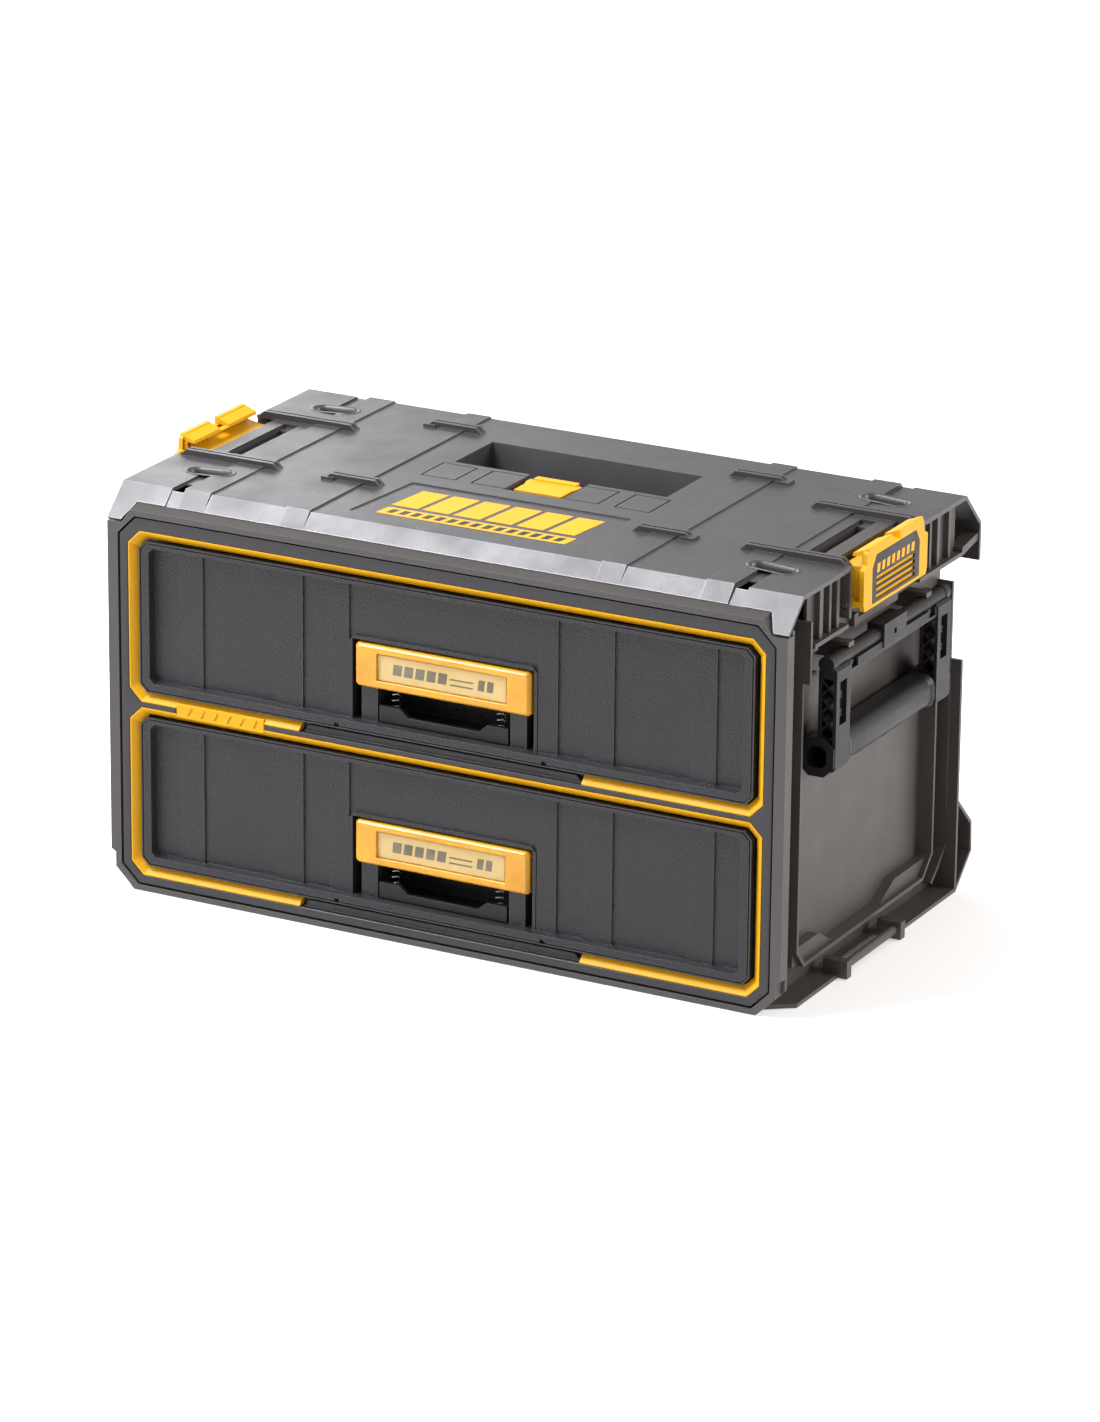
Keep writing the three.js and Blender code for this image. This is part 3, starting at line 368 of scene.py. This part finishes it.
def dress_cad_nodes(finishes):
    """Gives every CAD node the finish of its material slot, and rounded edges."""
    slots = {row["node"]: row["material_slot"] for row in frame["record"]["subparts"]}
    for name, node in frame["nodes"].items():
        node.data.materials.clear()
        node.data.materials.append(finishes[slots[name]])
        width = next((w for key, w in BEVELS.items() if key in name), SMALL_BEVEL)
        soften(node, width)


# ---------------------------------------------------------------- mesh helpers
# How much of a turn lies flat at each end of a coil, and the share of the height that it climbs.
END_TURN = 0.9
END_RISE = 0.03


def case_point(x, depth, z):
    """A point given in millimetres, with depth measured from the front face."""
    return Vector((x, depth - CASE_DEPTH / 2, z)) * MM


def add_piece(name, mesh, finish, body, bevel=0.0, smooth=False):
    """An object for a finished bmesh, with its finish, riding on a CAD body."""
    data = bpy.data.meshes.new(name)
    bmesh.ops.recalc_face_normals(mesh, faces=mesh.faces)
    for face in mesh.faces:
        face.smooth = smooth
    mesh.to_mesh(data)
    mesh.free()
    data.materials.append(finishes[finish])
    piece = bpy.data.objects.new(name, data)
    bpy.context.scene.collection.objects.link(piece)
    if bevel:
        rounding = piece.modifiers.new("bevel", "BEVEL")
        rounding.width = bevel * MM
        rounding.segments = 2
        rounding.limit_method = "ANGLE"
        rounding.angle_limit = math.radians(30)
    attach(piece, body)
    return piece


def add_prism(mesh, outline, direction):
    """A closed prism from a loop of points, moved along a vector."""
    lower = [mesh.verts.new(point) for point in outline]
    upper = [mesh.verts.new(Vector(point) + direction) for point in outline]
    count = len(outline)
    mesh.faces.new(lower)
    mesh.faces.new(list(reversed(upper)))
    for i in range(count):
        mesh.faces.new((lower[i], upper[i], upper[(i + 1) % count], lower[(i + 1) % count]))


def add_block(mesh, x, depth, z):
    """A box between opposite corners in millimetres."""
    outline = [case_point(a, b, z[0]) for a, b in
               ((x[0], depth[0]), (x[1], depth[0]), (x[1], depth[1]), (x[0], depth[1]))]
    add_prism(mesh, outline, Vector((0, 0, (z[1] - z[0]) * MM)))


def add_rings(mesh, rings, closed=False):
    """Quads between rings of points with the same count, with a cap at each open end."""
    made = [[mesh.verts.new(point) for point in ring] for ring in rings]
    pairs = list(zip(made, made[1:]))
    if closed:
        pairs.append((made[-1], made[0]))
    for a, b in pairs:
        for i in range(len(a)):
            j = (i + 1) % len(a)
            mesh.faces.new((a[i], a[j], b[j], b[i]))
    if not closed:
        mesh.faces.new(list(reversed(made[0])))
        mesh.faces.new(made[-1])


def add_wire(mesh, points, radius, sides=10):
    """A round wire along a list of points, with a cap at each end."""
    rings = []
    for i, point in enumerate(points):
        before = points[i - 1] if i else point
        after = points[i + 1] if i < len(points) - 1 else point
        along = (after - before).normalized()
        side = along.cross(Vector((0.3, 0.5, 0.81))).normalized()
        other = along.cross(side)
        ring = []
        for k in range(sides):
            angle = 2 * math.pi * k / sides
            ring.append(point + (side * math.cos(angle) + other * math.sin(angle)) * radius)
        rings.append(ring)
    add_rings(mesh, rings)


def add_coil(mesh, foot, axis, size, turns, wire, per_turn=28, sides=10):
    """A wound spring in millimetres: size is its radius to the wire's middle and its height."""
    radius, height = size[0] * MM, size[1] * MM
    points = coil_points(foot, axis, radius, height, turns, wire * MM, per_turn)
    add_wire(mesh, points, wire * MM, sides)


def coil_points(foot, axis, radius, height, turns, wire, per_turn):
    """Points of a coil from the centre of its foot, with flattened end turns."""
    axis = Vector(axis).normalized()
    side = axis.cross(Vector((1, 0, 0)) if abs(axis.x) < 0.9 else Vector((0, 1, 0))).normalized()
    other = axis.cross(side)
    points = []
    count = int(turns * per_turn)
    lead = END_TURN / turns
    for i in range(count + 1):
        t = i / count
        if t < lead:
            rise = END_RISE * t / lead
        elif t > 1 - lead:
            rise = 1 - END_RISE * (1 - t) / lead
        else:
            rise = END_RISE + (1 - 2 * END_RISE) * (t - lead) / (1 - 2 * lead)
        angle = 2 * math.pi * turns * t
        up = wire + rise * (height - 2 * wire)
        around = side * math.cos(angle) + other * math.sin(angle)
        points.append(foot + axis * up + around * radius)
    return points


def rounded_loop(width, height, corner, steps=6):
    """A rectangle with rounded corners, as (a, b) points about its centre."""
    loop = []
    for cx, cy, start in ((1, 1, 0), (-1, 1, 90), (-1, -1, 180), (1, -1, 270)):
        for i in range(steps + 1):
            angle = math.radians(start + 90 * i / steps)
            loop.append((cx * (width / 2 - corner) + corner * math.cos(angle),
                         cy * (height / 2 - corner) + corner * math.sin(angle)))
    return loop


# ---------------------------------------------------------------- deck details
KEYHOLE_X, KEYHOLE_DEPTHS = 224.7, {"front": 68, "rear": 248}
KEYHOLE_RADIUS, KEYHOLE_STRAIGHT = 8.5, 10.5
BAND_EDGE, BAND_RISE = 218, 1.2
# A keyhole lip's section: how far out from the hole's edge, and how far up from the deck.
RIM_PROFILE = (
    (1.3, -0.3), (0.9, 0.35), (0.0, 0.6), (-1.1, 0.3), (-2.1, -0.6), (-2.8, -2.0),
    (-3.2, -4.0), (-3.3, -7.0), (-2.3, -7.0), (-2.0, -4.0), (-1.2, -1.8), (0.0, -0.5),
)
GRAPHIC_FLOOR = 300.02
GRAPHIC_THICK = 0.2


def stadium_turns(steps=18):
    """The centre offset and angle of each point round a keyhole."""
    for start, offset in ((-90, KEYHOLE_STRAIGHT), (90, -KEYHOLE_STRAIGHT)):
        for i in range(steps + 1):
            yield offset, math.radians(start + 180 * i / steps)


def make_keyhole_rims():
    """The rounded lips that run down into the keyholes."""
    for side, s in SIDES.items():
        for place, depth in KEYHOLE_DEPTHS.items():
            mesh = bmesh.new()
            rings = []
            for offset, angle in stadium_turns():
                ring = []
                for out, up in RIM_PROFILE:
                    radius = KEYHOLE_RADIUS + out
                    x = KEYHOLE_X + offset + radius * math.cos(angle)
                    y = depth + radius * math.sin(angle)
                    on_band = max(0.0, min(1.0, (BAND_EDGE + 1 - x) / 2))
                    lift = BAND_RISE * on_band if up > -1 else 0
                    ring.append(case_point(s * x, y, DECK_TOP + up + lift))
                rings.append(ring)
            add_rings(mesh, rings, closed=True)
            add_piece(f"{side}_{place}_keyhole_rim", mesh, "deck_plastic", "case", smooth=True)


def add_slanted_bars(mesh, spans, depths, z, thick, slant):
    """Flat bars that lean to the right by the slant from their front to their rear."""
    for left, right in spans:
        outline = [case_point(left, depths[0], z), case_point(right, depths[0], z),
                   case_point(right + slant, depths[1], z), case_point(left + slant, depths[1], z)]
        add_prism(mesh, outline, Vector((0, 0, thick * MM)))


def make_deck_graphic():
    """A plain printed pattern in the deck's recess: slanted bars above a lined strip."""
    bars = bmesh.new()
    blocks = [(-76 + 25 * i, -55 + 25 * i) for i in range(6)]
    add_slanted_bars(bars, blocks, (68, 107), GRAPHIC_FLOOR, GRAPHIC_THICK, 4)
    add_slanted_bars(bars, [(-77, 73)], (47, 62.5), GRAPHIC_FLOOR, GRAPHIC_THICK, 2)
    add_piece("deck_graphic_bars", bars, "yellow_plastic", "case", bevel=0.06)
    marks = bmesh.new()
    dashes = [(-71 + 9.5 * i, -65.5 + 9.5 * i) for i in range(15)]
    add_slanted_bars(marks, dashes, (50.5, 59.5), 300.2, 0.1, 1.5)
    add_piece("deck_graphic_marks", marks, "black_plastic", "case")


# ---------------------------------------------------------------- drawer details
GRIP_FOOT, LABEL_FACE = 33.0, 5.78
SPRING_X, SPRING_DEPTH, SPRING_Z = 42, 15, (11.9, 32.7)
SPRING_RADIUS, SPRING_WIRE, SPRING_TURNS = 3.35, 0.42, 6
BIN_X, BIN_DEPTHS, BIN_Z = 229.8, (15.3, 269.5), (5.5, 96.0)
SLIDE_CENTRE, SLIDE_DEPTHS = 53.0, (17, 267)
# A label's marks: the left and right edges of each, and its foot and top above the label's line.
LABEL_LINE = 12.4
LABEL_MARKS = [(-40 + 9 * i, -33 + 9 * i, 0, 8) for i in range(5)] + [
    (5.5, 24, 0, 1.2), (5.5, 24, 4, 5.2), (28, 33, 0, 8), (35, 40, 0, 8),
]
# The guide ribs in a bin stand in pairs, this far each side of their middle and this thick.
RIB_SHIFT = 1.9
RIB_HALF = 0.7
RIB_SINK = 0.2
SIDE_RIB_DEPTHS = range(40, 262, 22)
REAR_RIB_X = range(-208, 209, 26)
FLOOR_LINE_DEPTHS = range(60, 250, 44)
# The slides' balls run in two rows, in a cage of thin strips.
BALL_ROW_RISE = 19.8
BALLS = 16
BALL_GAP = 10.4
BALL_RADIUS = 1.2
BALL_X = 239.6
FIRST_BALL = 26
CAGE_X = (237.2, 238.0)


def make_label_marks(level, foot):
    """Plain dark dashes on the card behind the window."""
    mesh = bmesh.new()
    line = foot + GRIP_FOOT + LABEL_LINE
    for left, right, low, top in LABEL_MARKS:
        corners = ((left, low), (right, low), (right + 1, top), (left + 1, top))
        outline = [case_point(x, LABEL_FACE, line + up) for x, up in corners]
        add_prism(mesh, outline, Vector((0, 0.1 * MM, 0)))
    add_piece(f"{level}_label_marks", mesh, "black_plastic", f"{level}_drawer")


def make_trigger_springs(level, foot):
    """The coils that press the trigger down."""
    low, high = (foot + z for z in SPRING_Z)
    body = f"{level}_drawer"
    for side, s in SIDES.items():
        mesh = bmesh.new()
        centre = case_point(s * SPRING_X, SPRING_DEPTH, low)
        add_coil(mesh, centre, (0, 0, 1), (SPRING_RADIUS, high - low), SPRING_TURNS, SPRING_WIRE)
        spring = add_piece(f"{level}_{side}_trigger_coil", mesh, "spring_steel", body, smooth=True)
        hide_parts(f"{level}_{side}_trigger_spring")
        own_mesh(spring)


def make_bin_ribs(level, foot):
    """The moulded guides for dividers inside a drawer, and low lines across its floor."""
    mesh = bmesh.new()
    low, high = (foot + z for z in BIN_Z)
    z = (low - RIB_SINK, high)
    rear = (BIN_DEPTHS[1] - 2.0, BIN_DEPTHS[1] + RIB_SINK)
    for depth in SIDE_RIB_DEPTHS:
        for s in SIDES.values():
            wall = sorted((s * (BIN_X + RIB_SINK), s * (BIN_X - 2.2)))
            for shift in (-RIB_SHIFT, RIB_SHIFT):
                add_block(mesh, wall, (depth + shift - RIB_HALF, depth + shift + RIB_HALF), z)
    for x in REAR_RIB_X:
        for shift in (-RIB_SHIFT, RIB_SHIFT):
            add_block(mesh, (x + shift - RIB_HALF, x + shift + RIB_HALF), rear, z)
    for depth in FLOOR_LINE_DEPTHS:
        add_block(mesh, (-BIN_X + 6, BIN_X - 6), (depth - 0.8, depth + 0.8), (low - RIB_SINK, low + 0.5))
    add_piece(f"{level}_bin_ribs", mesh, "bin_plastic", f"{level}_drawer", bevel=0.25)


def make_slide_balls(level, foot):
    """Ball cages that run between the rails, riding with the middle rails."""
    body = f"{level}_slides"
    cage_depths = (SLIDE_DEPTHS[0] + 20, SLIDE_DEPTHS[1] - 60)
    for side, s in SIDES.items():
        cage = bmesh.new()
        balls = bmesh.new()
        for up in (-BALL_ROW_RISE, BALL_ROW_RISE):
            z = foot + SLIDE_CENTRE + up
            add_block(cage, sorted(s * x for x in CAGE_X), cage_depths, (z - 1.0, z + 1.0))
            for i in range(BALLS):
                depth = SLIDE_DEPTHS[0] + FIRST_BALL + i * BALL_GAP
                place = Matrix.Translation(case_point(s * BALL_X, depth, z))
                bmesh.ops.create_icosphere(balls, subdivisions=2, radius=BALL_RADIUS * MM, matrix=place)
        add_piece(f"{level}_{side}_ball_cage", cage, "slide_steel", body)
        add_piece(f"{level}_{side}_slide_balls", balls, "spring_steel", body, smooth=True)


# ---------------------------------------------------------------- latch and carry handle details
MIDDLE_DEPTH = 155.0
LATCH_PIN_X, LATCH_PIN_Z, LATCH_FACE = 265.0, 272.5, 277.0
GRIP_X, GRIP_Z, GRIP_DEPTHS = (250.7, 277.6), (160.0, 187.0), (84.6, 225.4)
TOOTH_DEPTHS = range(113, 200, 6)
TOOTH_WIDTH, TOOTH_X, TOOTH_Z = 1.2, (270.6, 273.7), (299.8, 305.4)
COMB_GAP = (147, 163)
DASH_START, DASH_STEP, DASHES = 124, 7.9, 8
LATCH_COIL_START, LATCH_COIL_RADIUS, LATCH_COIL_LENGTH = 148.5, 4.2, 13
FINGER_DEPTHS = [115 + 20 * i for i in range(5)]
FINGER_REACH, FINGER_SWELL = 9.0, 2.0
GRIP_CORNER, GRIP_STEPS = 9.5, 96
# A grip's collars end this far in, taper over the next length, and stand this much above the sleeve.
COLLAR_LENGTH, COLLAR_TAPER, COLLAR_RISE = 2.5, 3.0, 1.3
BRACKET_DEPTHS, BRACKET_X, BRACKET_FOOT = (147.5, 162.5), 253.5, 266


def side_point(s, x, depth, z):
    """A point drawn on the right side; the left side is the same turned half round."""
    return case_point(s * x, depth if s > 0 else 2 * MIDDLE_DEPTH - depth, z)


def add_side_block(mesh, s, x, depth, z):
    """A box between opposite corners drawn on the right side."""
    outline = [side_point(s, a, b, z[0]) for a, b in
               ((x[0], depth[0]), (x[1], depth[0]), (x[1], depth[1]), (x[0], depth[1]))]
    add_prism(mesh, outline, Vector((0, 0, (z[1] - z[0]) * MM)))


def make_latch_comb(side, s):
    """The row of fine teeth under a latch's lip, open in the middle."""
    comb = bmesh.new()
    for depth in TOOTH_DEPTHS:
        if not COMB_GAP[0] < depth < COMB_GAP[1]:
            add_side_block(comb, s, TOOTH_X, (depth, depth + TOOTH_WIDTH), TOOTH_Z)
    add_piece(f"{side}_latch_comb", comb, "yellow_plastic", f"{side}_latch", bevel=0.2)


def make_latch_marks(side, s):
    """A row of plain slanted dashes on a latch's insert."""
    marks = bmesh.new()
    for i in range(DASHES):
        depth = DASH_START + i * DASH_STEP
        outline = [side_point(s, LATCH_FACE - 0.15, d, z) for d, z in
                   ((depth, 290.5), (depth + 4.6, 290.5), (depth + 5.4, 297), (depth + 0.8, 297))]
        add_prism(marks, outline, Vector((s * 0.2 * MM, 0, 0)))
    add_piece(f"{side}_latch_marks", marks, "yellow_plastic", f"{side}_latch")


def make_latch_bracket(side, s):
    """The dark bracket in the latch bay, a back plate with a cheek at each end."""
    bracket = bmesh.new()
    front, rear = BRACKET_DEPTHS
    x, z = BRACKET_X, BRACKET_FOOT
    for cheek in ((front, front + 2.5), (rear - 2.5, rear)):
        add_side_block(bracket, s, (x, x + 6.1), cheek, (z, z + 17))
    add_side_block(bracket, s, (x, x + 3), BRACKET_DEPTHS, (z, z + 20))
    add_piece(f"{side}_latch_bracket", bracket, "black_plastic", "case", bevel=0.4)


def make_latch_coil(side, s):
    """The return spring wound round a latch's pin."""
    mesh = bmesh.new()
    foot = side_point(s, LATCH_PIN_X, LATCH_COIL_START, LATCH_PIN_Z)
    add_coil(mesh, foot, (0, s, 0), (LATCH_COIL_RADIUS, LATCH_COIL_LENGTH), 7, 0.55)
    coil = add_piece(f"{side}_latch_coil", mesh, "spring_steel", "case", smooth=True)
    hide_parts(f"{side}_latch_spring")


def finger_bump(depth):
    """How far the finger rests swell under the grip at a depth, in millimetres."""
    reach = min(abs(depth - centre) for centre in FINGER_DEPTHS) / FINGER_REACH
    return FINGER_SWELL * math.sqrt(max(0.0, 1 - reach * reach))


def make_bail_grip(side, s):
    """A rounded sleeve with finger rests underneath and a collar at each end."""
    mesh = bmesh.new()
    width, height = GRIP_X[1] - GRIP_X[0], GRIP_Z[1] - GRIP_Z[0]
    centre_x, centre_z = sum(GRIP_X) / 2, sum(GRIP_Z) / 2
    rings = []
    for i in range(GRIP_STEPS + 1):
        depth = GRIP_DEPTHS[0] + (GRIP_DEPTHS[1] - GRIP_DEPTHS[0]) * i / GRIP_STEPS
        from_end = min(depth - GRIP_DEPTHS[0], GRIP_DEPTHS[1] - depth)
        slim = COLLAR_RISE * min(1.0, max(0.0, (from_end - COLLAR_LENGTH) / COLLAR_TAPER))
        ring = []
        for a, b in rounded_loop(width - 2 * slim, height - 2 * slim, GRIP_CORNER):
            drop = finger_bump(depth) * max(0.0, -b / (height / 2)) ** 3
            ring.append(side_point(s, centre_x + a, depth, centre_z + b - drop))
        rings.append(ring)
    add_rings(mesh, rings)
    grip = add_piece(f"{side}_bail_sleeve", mesh, "black_plastic", f"{side}_bail", smooth=True)
    even = grip.modifiers.new("even_normals", "WEIGHTED_NORMAL")
    even.weight = 60
    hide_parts(f"{side}_bail_grip")


def make_tab_coil():
    """The small coil that presses the deck tab shut."""
    mesh = bmesh.new()
    foot = case_point(0, 137.8, DECK_TOP - 6.6)
    add_coil(mesh, foot, (0, 1, 0), (0.85, 4.5), 6, 0.2, per_turn=16, sides=6)
    coil = add_piece("deck_tab_coil", mesh, "spring_steel", "case", smooth=True)
    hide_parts("deck_tab_spring")


# ---------------------------------------------------------------- case details
REAR_FACE = 289.0
REAR_RIB_Z = (80, 238)
SCREW_X, SCREW_Z, SCREW_RADIUS = (-222, -75, 75, 222), (88, 262), 3.4
# A screw head's section from its rim in: share of its radius, height, and how far its lobes show.
SCREW_PROFILE = (
    (1.0, -0.4, 0), (1.0, 0.15, 0), (0.88, 0.4, 0), (0.62, 0.55, 0), (0.46, 0.58, 1), (0.42, 0.05, 1),
)
SCREW_STEPS = 36


def make_rear_ribs():
    """Stiffening ribs and a frame line on the rear wall."""
    mesh = bmesh.new()
    rear = (REAR_FACE - 0.3, REAR_FACE + 1.8)
    for x in range(-210, 211, 60):
        add_block(mesh, (x - 2.2, x + 2.2), rear, REAR_RIB_Z)
    for z in (REAR_RIB_Z[0] - 4, REAR_RIB_Z[1]):
        add_block(mesh, (-236, 236), rear, (z, z + 4))
    for s in SIDES.values():
        add_block(mesh, sorted((s * 232, s * 236)), rear, REAR_RIB_Z)
    add_piece("rear_ribs", mesh, "shell_plastic", "case", bevel=0.5)


def screw_rings(centre):
    """Rings of a domed screw head that faces the rear, with a six-lobed recess."""
    out = Vector((0, 1, 0))
    up = Vector((0, 0, 1))
    side = out.cross(up)
    radius = SCREW_RADIUS * MM
    rings = []
    for share, height, lobes in SCREW_PROFILE:
        ring = []
        for k in range(SCREW_STEPS):
            angle = 2 * math.pi * k / SCREW_STEPS
            reach = radius * share * (1 - 0.18 * lobes * (0.5 + 0.5 * math.cos(6 * angle)))
            around = up * math.cos(angle) + side * math.sin(angle)
            ring.append(centre + around * reach + out * (radius * height))
        rings.append(ring)
    return rings


def make_screws():
    """Two rows of screws in the rear wall."""
    mesh = bmesh.new()
    for x in SCREW_X:
        for z in SCREW_Z:
            add_rings(mesh, screw_rings(case_point(x, REAR_FACE, z)))
    add_piece("case_screws", mesh, "spring_steel", "case")


make_camera()
make_studio()
finishes = make_finishes()
dress_cad_nodes(finishes)
make_keyhole_rims()
make_deck_graphic()
for level, foot in DRAWER_FEET.items():
    make_label_marks(level, foot)
    make_trigger_springs(level, foot)
    make_bin_ribs(level, foot)
    make_slide_balls(level, foot)
for side, s in SIDES.items():
    make_latch_comb(side, s)
    make_latch_marks(side, s)
    make_latch_bracket(side, s)
    make_latch_coil(side, s)
    make_bail_grip(side, s)
make_tab_coil()
make_rear_ribs()
make_screws()
